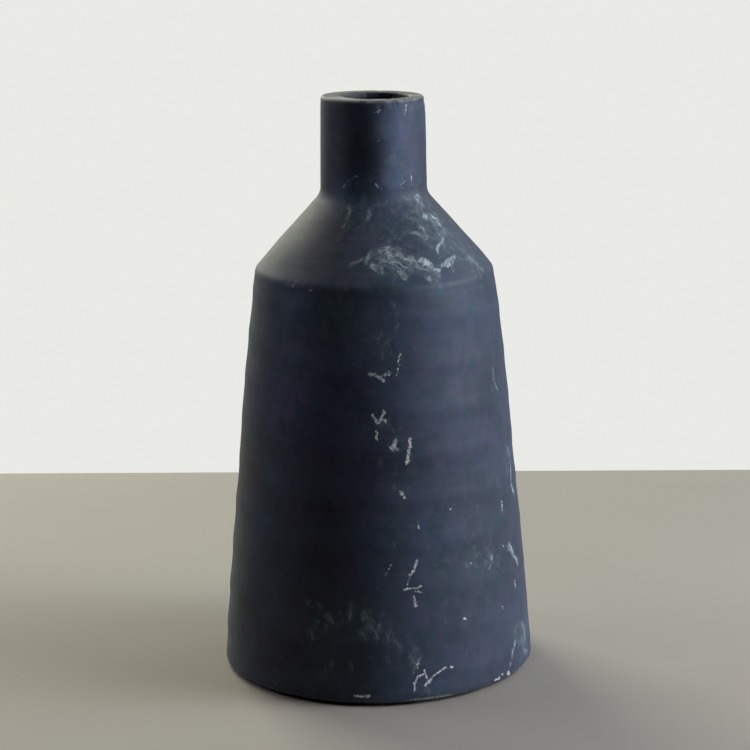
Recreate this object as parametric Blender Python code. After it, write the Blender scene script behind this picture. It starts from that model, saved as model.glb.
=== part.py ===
"""A stoneware bottle vase, stood on its foot with its axis on +Z. Metres.

A thrown bottle of this shape is too tall and too sharply shouldered to be pulled
up in one piece, so it is built from sections: a base slab, a conical body wall, a
shoulder cone and a neck tube. Each section laps into the next one, and a thin ring
of slip holds each lap. Everything is round, so each piece is one turned outline.
"""

import math

import bmesh
import bpy
from mathutils import Vector

# Driving dimensions of the outside.
HEIGHT = 0.2507
FOOT_RADIUS = 0.0684        # the body wall at its lower edge
FOOT_LIFT = 0.0013          # the wall's lower edge stays this far above the table
RIDGE_RADIUS = 0.0516       # the corner between body wall and shoulder
RIDGE_HEIGHT = 0.1765
NECK_FOOT_RADIUS = 0.0229   # the corner between shoulder and neck
NECK_FOOT_HEIGHT = 0.2088
LIP_RADIUS = 0.0223
WALL_BULGE = 0.0008         # how far the body wall swells at half its height

# Thicknesses and the inside.
WALL = 0.0065
BORE_RADIUS = 0.0142
FLOOR_HEIGHT = 0.0090
RECESS_DEPTH = 0.0008       # the underside is scraped hollow, so that it stands on a ring
STANDING_RING = 0.0120

# Roundings of the outside.
FOOT_ROUND = 0.0016
RIDGE_ROUND = 0.0040
NECK_FILLET = 0.0082
LIP_OUTER_ROUND = 0.0024
LIP_INNER_ROUND = 0.0018

# The joints. A gap keeps neighbouring pieces apart, and slip fills each lap.
GAP = 0.0003
SLIP = 0.0010
LAP = 0.0032                # radial thickness of a spigot or a lip
LAP_DEPTH = 0.0040          # how far one section reaches into the next
OPENING_LAND = 0.0012       # height of the upright edge inside the shoulder's top
JOINT = SLIP + 2 * GAP      # from one section's face to the next one's

# Heights of the joints, each at the face of the lower section.
FLANGE_HEIGHT = 0.0040
RIDGE_SEAT_HEIGHT = RIDGE_HEIGHT - 0.0033
NECK_SEAT_HEIGHT = 0.2045

SEGMENTS = 64
WALL_STEPS = 8
SMOOTH_ANGLE = math.radians(30)

CLAY_COLOUR = (0.033, 0.038, 0.052, 1.0)
FOOT_COLOUR = (0.050, 0.048, 0.050, 1.0)
SLIP_COLOUR = (0.085, 0.080, 0.078, 1.0)


def clear_scene():
    for thing in list(bpy.data.objects):
        bpy.data.objects.remove(thing, do_unlink=True)


def between(start, end, share):
    return start + (end - start) * share


def wall_radius(height):
    """Outer radius of the body wall, a straight cone with a slight swelling."""
    share = (height - FOOT_LIFT) / (RIDGE_HEIGHT - FOOT_LIFT)
    swelling = 4 * WALL_BULGE * share * (1 - share)
    return between(FOOT_RADIUS, RIDGE_RADIUS, share) + swelling


def cone_radius(height):
    """Outer radius of the shoulder's cone, or of its line carried on past its ends."""
    share = (height - RIDGE_HEIGHT) / (NECK_FOOT_HEIGHT - RIDGE_HEIGHT)
    return between(RIDGE_RADIUS, NECK_FOOT_RADIUS, share)


def cone_height(radius):
    share = (radius - RIDGE_RADIUS) / (NECK_FOOT_RADIUS - RIDGE_RADIUS)
    return between(RIDGE_HEIGHT, NECK_FOOT_HEIGHT, share)


def cone_wall():
    """The shoulder's thickness measured level, which is more than across its slope."""
    run = RIDGE_RADIUS - NECK_FOOT_RADIUS
    rise = NECK_FOOT_HEIGHT - RIDGE_HEIGHT
    return WALL * math.hypot(run, rise) / rise


def opening_radius():
    """Radius of the hole in the shoulder's top, which takes the neck's spigot."""
    return cone_radius(NECK_SEAT_HEIGHT - OPENING_LAND) - cone_wall()


def rounded(before, corner, after, radius, steps=4):
    """The points of an arc that rounds off a corner between two neighbouring points."""
    corner = Vector(corner)
    back = (Vector(before) - corner).normalized()
    on = (Vector(after) - corner).normalized()
    half = back.angle(on) / 2
    centre = corner + (back + on).normalized() * (radius / math.sin(half))
    start = corner + back * (radius / math.tan(half)) - centre
    turn = math.pi - 2 * half
    if back.cross(on) > 0:
        turn = -turn
    points = []
    for step in range(steps + 1):
        angle = turn * step / steps
        across = Vector((-start.y, start.x))
        points.append(centre + start * math.cos(angle) + across * math.sin(angle))
    return [tuple(point) for point in points]


def clay_material(name, colour, roughness):
    material = bpy.data.materials.new(name + "_clay")
    material.use_nodes = True
    shader = material.node_tree.nodes["Principled BSDF"]
    shader.inputs["Base Color"].default_value = colour
    shader.inputs["Roughness"].default_value = roughness
    shader.inputs["Metallic"].default_value = 0.0
    material.diffuse_color = colour
    return material


def turned(name, outline, colour, roughness=0.6):
    """One solid made by turning an outline of (radius, height) points round the axis.

    An outline that starts and ends on the axis makes a disc, and any other is
    closed into a loop and makes a ring.
    """
    mesh = bmesh.new()
    points = [mesh.verts.new((radius, 0.0, height)) for radius, height in outline]
    edges = [mesh.edges.new(pair) for pair in zip(points, points[1:])]
    if outline[0][0] > 0:
        edges.append(mesh.edges.new((points[-1], points[0])))
    bmesh.ops.spin(
        mesh,
        geom=points + edges,
        cent=(0.0, 0.0, 0.0),
        axis=(0.0, 0.0, 1.0),
        angle=math.tau,
        steps=SEGMENTS,
        use_merge=True,
    )
    bmesh.ops.remove_doubles(mesh, verts=mesh.verts, dist=1e-6)
    bmesh.ops.recalc_face_normals(mesh, faces=mesh.faces)
    data = bpy.data.meshes.new(name)
    mesh.to_mesh(data)
    mesh.free()
    data.shade_smooth()
    data.set_sharp_from_angle(angle=SMOOTH_ANGLE)
    data.materials.append(clay_material(name, colour, roughness))
    piece = bpy.data.objects.new(name, data)
    bpy.context.scene.collection.objects.link(piece)
    return piece


def base_slab():
    """A flat slab whose flange the wall stands on, with a plug up inside the wall."""
    flange_radius = FOOT_RADIUS - LAP - GAP
    plug_radius = wall_radius(FLOOR_HEIGHT) - WALL - GAP
    ring_radius = flange_radius - STANDING_RING
    edge = 0.0008
    outline = [
        (0.0, RECESS_DEPTH),
        (ring_radius - edge, RECESS_DEPTH),
        (ring_radius, 0.0),
        (flange_radius - edge, 0.0),
        (flange_radius, edge),
        (flange_radius, FLANGE_HEIGHT),
        (plug_radius, FLANGE_HEIGHT),
        (plug_radius, FLOOR_HEIGHT - edge),
        (plug_radius - edge, FLOOR_HEIGHT),
        (0.0, FLOOR_HEIGHT),
    ]
    return turned("base_slab", outline, FOOT_COLOUR, 0.75)


def base_slip_joint():
    """The ring of slip between the slab's flange and the wall that stands on it."""
    bottom = FLANGE_HEIGHT + GAP
    outer = FOOT_RADIUS - LAP - GAP
    inner = wall_radius(FLOOR_HEIGHT) - WALL
    return slip_ring("base_slip_joint", bottom, inner, outer)


def slip_ring(name, bottom, inner, outer):
    outline = [
        (inner, bottom),
        (outer, bottom),
        (outer, bottom + SLIP),
        (inner, bottom + SLIP),
    ]
    return turned(name, outline, SLIP_COLOUR, 0.8)


def body_wall():
    """The conical wall, with a lip round the slab below and a gallery at its top."""
    seat = FLANGE_HEIGHT + JOINT
    foot = (wall_radius(FOOT_LIFT), FOOT_LIFT)
    lip_inside = (FOOT_RADIUS - LAP, FOOT_LIFT)
    above_foot = (wall_radius(seat), seat)
    gallery_radius = wall_radius(RIDGE_SEAT_HEIGHT) - LAP
    ledge = RIDGE_SEAT_HEIGHT - LAP_DEPTH

    outline = [lip_inside]
    outline += rounded(lip_inside, foot, above_foot, FOOT_ROUND, 3)
    for step in range(1, WALL_STEPS + 1):
        height = between(seat, RIDGE_SEAT_HEIGHT, step / WALL_STEPS)
        outline.append((wall_radius(height), height))
    outline += [(gallery_radius, RIDGE_SEAT_HEIGHT), (gallery_radius, ledge)]
    for step in range(WALL_STEPS // 2 + 1):
        height = between(ledge, seat, 2 * step / WALL_STEPS)
        outline.append((wall_radius(height) - WALL, height))
    outline.append((FOOT_RADIUS - LAP, seat))
    return turned("body_wall", outline, CLAY_COLOUR)


def shoulder_slip_joint():
    """The ring of slip on the rim of the body wall, just under the ridge."""
    bottom = RIDGE_SEAT_HEIGHT + GAP
    inner = wall_radius(RIDGE_SEAT_HEIGHT) - LAP
    outer = wall_radius(RIDGE_SEAT_HEIGHT + JOINT) - GAP
    return slip_ring("shoulder_slip_joint", bottom, inner, outer)


def shoulder_cone():
    """The shoulder, whose spigot hangs inside the gallery of the body wall."""
    face = RIDGE_SEAT_HEIGHT + JOINT
    ridge = (RIDGE_RADIUS, RIDGE_HEIGHT)
    under_ridge = (wall_radius(face), face)
    top = (cone_radius(NECK_SEAT_HEIGHT), NECK_SEAT_HEIGHT)
    spigot_outside = wall_radius(RIDGE_SEAT_HEIGHT) - LAP - GAP
    spigot_inside = spigot_outside - LAP
    spigot_end = RIDGE_SEAT_HEIGHT - LAP_DEPTH + GAP
    opening = opening_radius()

    outline = [(spigot_outside, face), under_ridge]
    outline += rounded(under_ridge, ridge, top, RIDGE_ROUND)
    outline += [top, (opening, NECK_SEAT_HEIGHT)]
    outline.append((opening, NECK_SEAT_HEIGHT - OPENING_LAND))
    outline.append((spigot_inside, cone_height(spigot_inside + cone_wall())))
    outline += [(spigot_inside, spigot_end), (spigot_outside, spigot_end)]
    return turned("shoulder_cone", outline, CLAY_COLOUR)


def neck_slip_joint():
    """The ring of slip on the shoulder's flat top, which the neck is pressed on to."""
    bottom = NECK_SEAT_HEIGHT + GAP
    inner = opening_radius()
    outer = cone_radius(bottom + SLIP) - GAP
    return slip_ring("neck_slip_joint", bottom, inner, outer)


def neck_tube():
    """The neck, flared at its foot, with a rounded lip and a spigot in the shoulder."""
    face = NECK_SEAT_HEIGHT + JOINT
    on_cone = (cone_radius(face), face)
    corner = (NECK_FOOT_RADIUS, NECK_FOOT_HEIGHT)
    lip_outer = (LIP_RADIUS, HEIGHT)
    lip_inner = (BORE_RADIUS, HEIGHT)
    spigot_end = NECK_SEAT_HEIGHT - LAP_DEPTH
    bore_end = (BORE_RADIUS, spigot_end)
    spigot_outside = opening_radius() - GAP

    outline = [(spigot_outside, face), on_cone]
    outline += rounded(on_cone, corner, lip_outer, NECK_FILLET, 6)
    outline += rounded(corner, lip_outer, lip_inner, LIP_OUTER_ROUND)
    outline += rounded(lip_outer, lip_inner, bore_end, LIP_INNER_ROUND)
    outline += [bore_end, (spigot_outside, spigot_end)]
    return turned("neck_tube", outline, CLAY_COLOUR)


clear_scene()
base_slab()
base_slip_joint()
body_wall()
shoulder_slip_joint()
shoulder_cone()
neck_slip_joint()
neck_tube()
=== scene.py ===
"""Looks of the stoneware bottle vase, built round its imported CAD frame. Metres, +Z up.

The camera faces the -Y side. Angles round the vase are degrees from that side,
positive towards +X, and heights are above the surface that the vase stands on.
"""

import math
import random

import bmesh
import bpy
import numpy as np
from mathutils import Matrix, Vector, noise


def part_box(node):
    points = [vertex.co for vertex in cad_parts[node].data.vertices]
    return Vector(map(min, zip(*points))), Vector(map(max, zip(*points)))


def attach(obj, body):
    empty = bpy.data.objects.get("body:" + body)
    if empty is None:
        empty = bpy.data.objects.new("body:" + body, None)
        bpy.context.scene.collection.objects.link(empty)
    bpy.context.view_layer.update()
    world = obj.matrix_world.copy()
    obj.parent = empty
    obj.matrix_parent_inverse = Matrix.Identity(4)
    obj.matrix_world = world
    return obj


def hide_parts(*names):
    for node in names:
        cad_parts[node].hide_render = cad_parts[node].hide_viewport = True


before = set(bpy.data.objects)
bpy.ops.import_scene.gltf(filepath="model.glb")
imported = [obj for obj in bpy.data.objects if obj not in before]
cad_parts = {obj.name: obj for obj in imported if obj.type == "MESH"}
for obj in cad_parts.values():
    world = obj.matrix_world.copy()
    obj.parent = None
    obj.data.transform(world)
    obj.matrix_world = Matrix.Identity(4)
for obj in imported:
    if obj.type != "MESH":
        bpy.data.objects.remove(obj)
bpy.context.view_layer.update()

MM = 0.001
TAU = math.tau

# ------------------------ sizes from the frame
wall_low, wall_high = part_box("body_wall")
cone_low, cone_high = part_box("shoulder_cone")
neck_low, neck_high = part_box("neck_tube")
slab_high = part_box("base_slab")[1]
slip_low, slip_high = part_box("base_slip_joint")

HEIGHT = neck_high.z
FOOT_LIFT = wall_low.z
FOOT_RADIUS = wall_high.x + 0.15 * MM
WALL_TOP = wall_high.z
CONE_TOP = cone_high.z
NECK_END = neck_low.z
CONE_END = cone_low.z

# The same thicknesses, gaps and roundings as the CAD solids.
WALL = 6.5 * MM
GAP = 0.3 * MM
LAP = 3.2 * MM
SLIP_BAND = 1.6 * MM
FLANGE_TOP = slip_low.z - GAP
BORE_RADIUS = 14.2 * MM
LIP_RADIUS = 22.3 * MM
NECK_FOOT = (22.9 * MM, 208.8 * MM)
RIDGE = (cone_high.x - 0.19 * MM, WALL_TOP + 3.3 * MM)
WALL_BULGE = 0.8 * MM
FOOT_ROUND = 1.6 * MM
RIDGE_ROUND = 4.0 * MM
NECK_FILLET = 8.2 * MM
LIP_OUTER_ROUND = 1.4 * MM
LIP_INNER_ROUND = 1.3 * MM
LIP_DIP = 0.12 * MM          # the lip's top slopes in a little towards the bore
LIP_FLAT = 3.2 * MM          # the lip's top, from the outside in to where the bore begins
NECK_SEAT = 6.2 * MM         # how far the neck's foot stands over the hole in the shoulder
FOOT_RING = 12 * MM          # the ring that the vase stands on
FOOT_RECESS = 0.8 * MM
FOOT_EDGE = 0.8 * MM

# ------------------------ the hand-made surface
SEGMENTS = 384
ROW_STEP = 0.9 * MM
RING_PITCH = 18.8 * MM       # one rise of the potter's fingers for each turn
RING_DEPTH = 0.17 * MM
INNER_RING_DEPTH = 0.35 * MM
RING_GROOVE = 136.3 * MM     # the height of one groove at the front
LUMP = 0.25 * MM
TOOL_LINE = 0.035 * MM
OVAL = 0.12 * MM
LIP_REACH = 14 * MM          # the lip's unevenness fades out this far below it
LIP_WAVER = 0.09 * MM
LIP_TILT = 0.33 * MM         # the lip is higher at the front than behind
LIP_LEAN = 0.22 * MM         # and higher at -X than at +X
BORE_SHIFT = 0.9 * MM        # the bore is off centre, towards +X

# Slow swellings of the whole body, as (height, outward, spread), all in mm.
SWELLS = [(140, 0.28, 24), (89, -0.22, 14), (32, 0.1, 16)]
# Places that the potter's hands left fuller or flatter, as
# (angle, height in mm, outward in mm, spread in degrees, spread in mm).
HOLLOWS = [
    (85, 176, -0.55, 50, 4.5),
    (-80, 188, 0.35, 45, 9),
    (80, 248.6, -0.6, 34, 1.8),
]

# Dents, as (angle, height in mm, depth in mm, size in mm).
DENTS = [
    (88, 245.3, 0.7, 1.3),
    (-42, 176.4, 0.35, 0.9),
    (-31, 176.2, 0.3, 0.8),
    (-27, 175.6, 0.2, 1.5),
    (-12, 176.3, 0.25, 1.2),
    (33, 176.5, 0.25, 1.6),
    (8, 247.3, 0.25, 0.9),
    (47, 248.5, 0.2, 1.4),
]


def rounded(before, corner, after, radius, steps=12):
    """The points of an arc that rounds off a corner between two neighbouring points."""
    corner = Vector(corner)
    back = (Vector(before) - corner).normalized()
    on = (Vector(after) - corner).normalized()
    half = back.angle(on) / 2
    centre = corner + (back + on).normalized() * (radius / math.sin(half))
    start = corner + back * (radius / math.tan(half)) - centre
    turn = math.pi - 2 * half
    if back.cross(on) > 0:
        turn = -turn
    across = Vector((-start.y, start.x))
    return [
        tuple(centre + start * math.cos(turn * k / steps) + across * math.sin(turn * k / steps))
        for k in range(steps + 1)
    ]


def wall_radius(height):
    """Outer radius of the body wall without its rings, which swells a little half-way up."""
    share = (height - FOOT_LIFT) / (RIDGE[1] - FOOT_LIFT)
    return FOOT_RADIUS + (RIDGE[0] - FOOT_RADIUS) * share + 4 * WALL_BULGE * share * (1 - share)


class Skin:
    """The whole outer outline as one line, from under the foot, over the lip, into the bore.

    Every piece takes its outside from this line, so neighbouring pieces meet exactly.
    """

    def __init__(self):
        start = (FOOT_RADIUS - LAP, FOOT_LIFT)
        foot = (FOOT_RADIUS, FOOT_LIFT)
        over_foot = (wall_radius(6 * MM), 6 * MM)
        lip_outer = (LIP_RADIUS, HEIGHT)
        lip_inner = (BORE_RADIUS, HEIGHT - LIP_DIP)
        in_bore = (BORE_RADIUS, HEIGHT - 4 * MM)
        under_ridge = (wall_radius(RIDGE[1] - 6 * MM), RIDGE[1] - 6 * MM)
        points = [start]
        points += rounded(start, foot, over_foot, FOOT_ROUND)
        points += [(wall_radius(z), z) for z in np.linspace(6 * MM, under_ridge[1], 60)]
        points += rounded(under_ridge, RIDGE, NECK_FOOT, RIDGE_ROUND)
        points += rounded(RIDGE, NECK_FOOT, lip_outer, NECK_FILLET)
        points += rounded(NECK_FOOT, lip_outer, lip_inner, LIP_OUTER_ROUND)
        points += rounded(lip_outer, lip_inner, in_bore, LIP_INNER_ROUND)
        line = np.array(points)
        steps = np.hypot(*np.diff(line, axis=0).T)
        self.length = np.concatenate([[0], np.cumsum(steps)])
        self.line = line
        self.top = self.length[np.argmax(line[:, 1])]

    def at(self, length):
        """Radius, height and the outward direction at these lengths along the line."""
        along = np.asarray(length)
        nearby = 0.3 * MM
        spot = [np.interp(along, self.length, self.line[:, k]) for k in (0, 1)]
        ahead = [np.interp(along + nearby, self.length, self.line[:, k]) for k in (0, 1)]
        behind = [np.interp(along - nearby, self.length, self.line[:, k]) for k in (0, 1)]
        out = np.array([ahead[1] - behind[1], behind[0] - ahead[0]])
        out /= np.maximum(np.hypot(*out), 1e-9)
        return np.stack([spot[0], spot[1], out[0], out[1]], axis=1)

    def reaches(self, height):
        """The length at which the outside reaches a height."""
        outside = self.length <= self.top
        return float(np.interp(height, self.line[outside, 1], self.length[outside]))

    def stretch(self, start, end):
        rows = max(2, math.ceil((end - start) / ROW_STEP) + 1)
        return self.at(np.linspace(start, end, rows))


skin = Skin()


def smooth(low, high, value):
    """An even step from 0 at low to 1 at high."""
    share = np.clip((value - low) / (high - low), 0, 1)
    return share * share * (3 - 2 * share)


def field(x, y, z, size, seed):
    """Smooth noise between about -1 and 1, with lumps of the given size."""
    offset = Vector((7.3 * seed, 3.1 * seed, 5.7 * seed))
    points = np.stack([x, y, z], axis=-1).reshape(-1, 3) / size
    values = [noise.noise(Vector(point) + offset) for point in points]
    return np.array(values).reshape(np.shape(x))


def turn_from(angle, degrees):
    """How far round the vase an angle is from a direction in degrees, in radians."""
    return (angle - math.radians(degrees) + math.pi) % TAU - math.pi


def relief(angle, radius, height):
    """How far the hand-thrown surface stands out of the true turned shape."""
    x, y = radius * np.sin(angle), -radius * np.cos(angle)
    on_wall = 1 - smooth(RIDGE[1] - 5 * MM, RIDGE[1] + 2 * MM, height)
    on_wall *= smooth(2 * MM, 11 * MM, height)
    on_neck = smooth(NECK_FOOT[1] - 2 * MM, NECK_FOOT[1] + 6 * MM, height)
    turns = (height - RING_GROOVE) / RING_PITCH + angle / TAU
    ring = -np.cos(TAU * turns) + 0.25 * np.cos(2 * TAU * turns + 0.6)
    strength = 0.75 + 0.5 * field(x, y, height, 60 * MM, 1)
    strength *= 1 - 0.2 * np.sin(angle)
    out = RING_DEPTH * ring * strength * (0.25 + 0.75 * on_wall) * (1 - 0.7 * on_neck)
    out += LUMP * (1 - 0.6 * on_neck) * field(x, y, height, 38 * MM, 2)
    out += 0.35 * LUMP * field(x, y, height, 12 * MM, 3)
    out += TOOL_LINE * field(x * 0.12, y * 0.12, height, 1.6 * MM, 4)
    out += OVAL * np.cos(2 * angle + 0.8) * (1 - on_neck)
    for centre, outward, spread in SWELLS:
        out += outward * MM * np.exp(-(((height / MM - centre) / spread) ** 2))
    for degrees, centre, outward, degree_spread, spread in HOLLOWS:
        turn = np.degrees(turn_from(angle, degrees))
        distance = np.hypot(turn / degree_spread, (height / MM - centre) / spread)
        out += outward * MM * np.exp(-(distance**2))
    return out


def dents(angle, radius, height, rough_edges):
    """Small chips, as depths. rough_edges adds worn places along the ridge and the foot."""
    depth = np.zeros_like(angle)
    for degrees, dent_height, deep, size in DENTS + rough_edges:
        around = turn_from(angle, degrees) * radius
        distance = np.hypot(around, height - dent_height * MM)
        depth += deep * MM * np.exp(-((distance / (size * MM)) ** 2))
    return depth


def edge_wear():
    """Chips along the ridge, the lip and the foot edge, mostly out of the camera's sight."""
    dice = random.Random(11)
    worn = []
    for edge_height, count, deepest in ((176.4, 26, 0.3), (249.2, 12, 0.3), (1.8, 30, 0.35)):
        for _ in range(count):
            degrees = dice.uniform(-180, 180)
            deep = dice.uniform(0.08, deepest)
            size = dice.uniform(0.6, 1.8)
            worn.append((degrees, edge_height + dice.uniform(-0.5, 0.5), deep, size))
    return worn


EDGE_WEAR = edge_wear()


# Chalk on the clay, as (width in mm, strength, [(angle, height in mm), ...]). Dabs are crisp
# strokes and scratches. Smears are wrinkled streaks that lie in a thin haze.
DABS = [
    (1.3, 0.9, [(-2.5, 141.4), (-0.5, 141.2)]),
    (1.2, 0.9, [(-0.5, 141), (2.2, 139.8), (3.4, 138.6)]),
    (1.3, 0.7, [(3.6, 140.9), (6, 141.6)]),
    (1.0, 0.65, [(10.6, 149.6), (10, 146.4)]),
    (0.8, 0.5, [(10, 146), (9, 140.5)]),
    (1.2, 1.0, [(-1.5, 124.3), (0.5, 121.4)]),
    (1.2, 1.0, [(1.2, 121.2), (3.4, 125.8)]),
    (1.2, 0.8, [(2.5, 123.2), (4, 121.6)]),
    (1.2, 0.8, [(0, 117.4), (0.2, 114.4)]),
    (1.4, 0.9, [(8, 113.4), (6.6, 110)]),
    (1.3, 0.75, [(5.6, 110.6), (8.2, 109.6)]),
    (1.2, 1.0, [(14, 113.8), (13.7, 110.6)]),
    (1.3, 1.0, [(13.2, 109), (12.4, 103.8)]),
    (1.3, 0.8, [(9.4, 92), (10.6, 89.4)]),
    (0.9, 0.6, [(30, 82.3)]),
    (0.9, 0.5, [(16, 78.8), (16.2, 76)]),
    (0.95, 0.95, [(15, 62.2), (13.8, 58.5), (12, 56)]),
    (0.8, 0.6, [(11.8, 55.4), (11, 52)]),
    (0.8, 1.0, [(9.8, 50.4), (16.2, 50.9)]),
    (0.9, 0.75, [(14, 49.4), (16.4, 48.6)]),
    (1.2, 0.9, [(13.4, 47), (14, 43)]),
    (0.8, 0.5, [(5, 61.5), (3, 56.7)]),
    (0.8, 1.1, [(33.5, 34.8), (34.4, 33.9)]),
    (1.0, 1.0, [(-8.5, 4.9), (-3.6, 5.0)]),
    (1.0, 0.9, [(12.6, 6.6), (12.8, 9.6)]),
    (0.85, 0.9, [(13, 10), (14.2, 12.8), (16, 13.3)]),
    (0.9, 1.0, [(16.6, 15), (17.4, 11.5)]),
    (1.2, 1.15, [(16.8, 8.8), (18.3, 10)]),
    (0.7, 1.1, [(18.2, 10.2), (21, 13), (24.8, 15)]),
    (0.8, 1.1, [(27.2, 14.7)]),
    (0.9, 0.55, [(15.4, 21.5), (14, 18.4), (14.2, 16.2)]),
    (1.3, 1.1, [(55, 4.0), (55.8, 3.6)]),
    (1.0, 0.9, [(51, 4.8)]),
    (1.3, 0.8, [(49.5, 3.6), (47, 3.4)]),
    (0.8, 0.55, [(-34, 214.2), (-25, 217.4), (-18, 219)]),
    (0.9, 0.5, [(-4.5, 240.6)]),
    (0.9, 0.45, [(6, 234)]),
    (1.0, 0.6, [(3, 245.8), (7, 246.6)]),
    (1.3, 0.6, [(39, 248), (36, 244.6)]),
    (1.1, 0.6, [(45, 218.4), (44.5, 215.8)]),
    (0.9, 0.5, [(2, 215.5), (8, 213.6)]),
    (0.9, 0.45, [(30, 215), (36, 216)]),
    (1.3, 0.9, [(29, 185.4), (30.5, 184.4)]),
    (1.3, 1.0, [(41.5, 182.6), (43.5, 182.9)]),
    (0.7, 0.8, [(-43, 175.9), (-41.5, 175.8)]),
    (0.7, 0.8, [(-31.5, 174.9), (-30.4, 174.7)]),
    (0.8, 0.7, [(58, 60), (59, 59.4)]),
    (1.2, 0.6, [(66, 42), (66.5, 39)]),
    (1.0, 0.5, [(54, 34), (55, 33)]),
    (0.9, 0.6, [(38, 57.4)]),
    (0.9, 0.6, [(60, 79.6), (60, 75)]),
    (1.0, 0.6, [(84, 17), (85, 14)]),
]
SMEARS = [
    (2.2, 0.9, [(-4.4, 186.5), (-0.3, 188.8), (5, 190.2), (8, 190.8)]),
    (2.6, 1.0, [(8.7, 188.6), (14.2, 189.5), (17, 188.1), (20.5, 186.2), (21.3, 183.7)]),
    (2.6, 1.0, [(21.3, 183.9), (24.3, 182.1), (27.3, 180.7), (31.3, 179.1)]),
    (1.8, 1.0, [(25.4, 185.5), (29.4, 185.2), (31.7, 182.6), (35.4, 182)]),
    (1.4, 0.75, [(39, 183), (44.2, 183.7), (50.2, 185.7)]),
    (1.2, 0.7, [(50, 185.6), (43.3, 180.8)]),
    (1.8, 0.9, [(-0.7, 184.9), (2.5, 183.6), (5.2, 185.8), (8, 185)]),
    (2.0, 1.0, [(5.2, 185.8), (8, 185), (10.2, 183.5), (13.3, 181.7), (15.3, 180.1)]),
    (3.4, 0.45, [(4, 187.5), (12.8, 185.6), (17.4, 183.2)]),
    (2.4, 0.8, [(51.4, 208.1), (51.8, 205.9), (43.5, 204.3), (45, 202.7), (48.3, 201.2)]),
    (2.0, 0.7, [(53.1, 200.5), (57.4, 199.1), (59.6, 196.9), (59, 195.4), (51.3, 193.5)]),
    (1.5, 0.55, [(51.3, 193.5), (47, 190.9), (41, 188.9)]),
    (1.2, 0.7, [(50.4, 199.6), (52.6, 197.7)]),
    (1.6, 0.7, [(36.3, 197.1), (37.5, 195.2), (39.8, 193.2)]),
    (2.0, 0.35, [(28.6, 195.5), (33.9, 194.6), (35.8, 192.9)]),
    (1.3, 0.5, [(51.2, 196.1), (50.1, 194.5)]),
    (2.4, 0.28, [(66, 191), (62, 184), (67, 178)]),
    (1.6, 0.42, [(71, 100), (75, 92), (72, 84)]),
    (1.2, 0.3, [(63, 137), (62.5, 132), (66, 127)]),
    (1.2, 0.6, [(72, 83), (77, 76)]),
    (2.0, 0.6, [(63, 58), (67, 53), (71, 48.5)]),
    (1.4, 0.5, [(50, 57.5), (48, 53.5)]),
    (1.0, 0.55, [(64, 22), (63, 18.8)]),
    (1.2, 0.6, [(62.2, 16), (61, 13.6)]),
    (0.9, 0.75, [(59.6, 12.3), (58.8, 9.8)]),
    (1.2, 0.8, [(57.4, 8), (56.4, 6.6)]),
    (3.4, 0.24, [(70, 21), (73, 16), (69, 11), (75, 6)]),
    (2.0, 0.3, [(12, 24), (14.5, 19), (13.5, 14)]),
    (1.2, 0.45, [(-8, 187), (-13, 184.5)]),
    (1.2, 0.5, [(-3, 205), (-6, 201)]),
    (1.4, 0.45, [(-23, 199), (-25, 206)]),
    (1.8, 0.22, [(-25.9, 31.8), (-25.4, 28.4)]),
    (2.0, 0.27, [(-22, 42.7), (-21.6, 40.6)]),
    (2.2, 0.24, [(-19.2, 39.2), (-17.6, 36.3)]),
    (1.8, 0.32, [(-10.7, 42), (-10, 38.6)]),
    (2.2, 0.3, [(-5.5, 40.5), (-4.8, 37.9)]),
    (1.8, 0.27, [(-3.3, 35.8), (-2.6, 33.3)]),
    (2.0, 0.36, [(-1.9, 32.4), (-1.1, 29.8)]),
    (1.8, 0.28, [(0.4, 36.2), (1.1, 33.7)]),
    (1.8, 0.24, [(-6.3, 31.5), (-5.5, 29.4)]),
    (1.8, 0.32, [(3.2, 31), (3.9, 28.4)]),
    (1.6, 0.34, [(3.1, 22.4), (3.5, 19.4)]),
    (1.6, 0.28, [(-17.4, 20.4), (-17, 17.8)]),
    (1.6, 0.24, [(-10.3, 19.3), (-9.6, 16.7)]),
    (1.8, 0.3, [(6.1, 28.8), (7.2, 26.1)]),
]
# Cloudy places where pale flecks gather: (angle, height in mm, size in mm, strength).
# Where one reaches the lip or the foot edge, that edge is painted paler too, as wear and as a
# painted highlight.
CLOUDS_AND_HIGHLIGHTS = [
    (-24, 36, 9, 0.5),
    (-14, 38, 9, 0.55),
    (-4, 36, 9, 0.65),
    (5, 30, 10, 0.5),
    (12, 20, 9, 0.5),
    (-18, 19, 8, 0.4),
    (-3, 18, 7, 0.4),
    (-2, 155, 14, 0.45),
    (8, 163, 12, 0.35),
    (4, 146, 9, 0.4),
    (2, 122, 7, 0.6),
    (8, 112, 8, 0.7),
    (6, 100, 8, 0.4),
    (10, 92, 8, 0.5),
    (12, 78, 9, 0.4),
    (13, 58, 9, 0.4),
    (50, 55, 14, 0.6),
    (34, 60, 12, 0.35),
    (70, 14, 14, 0.9),
    (66, 132, 10, 0.5),
    (74, 94, 12, 0.7),
    (55, 88, 12, 0.35),
    (10, 187, 14, 0.7),
    (48, 198, 14, 0.8),
    (30, 206, 12, 0.5),
    (-8, 201, 12, 0.6),
    (-28, 203, 9, 0.4),
    (62, 184, 14, 0.6),
    (28, 226, 9, 0.6),
    (14, 218, 9, 0.5),
    (-14, 215, 9, 0.6),
    (38, 243, 8, 0.5),
    (-66, 48, 9, 0.5),
    (-80, 14, 10, 0.6),
    # This row sets flecks and a painted highlight along the foot edge at the front right.
    (19, 2, 9, 0.8),
    # These three rows paint highlights on the lip: at the front left, on the inner edge at the
    # right and at the front.
    (-46, 250.6, 9, 0.9),
    (92, 250, 4, 0.9),
    (4, 250.6, 5, 0.5),
]
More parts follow.
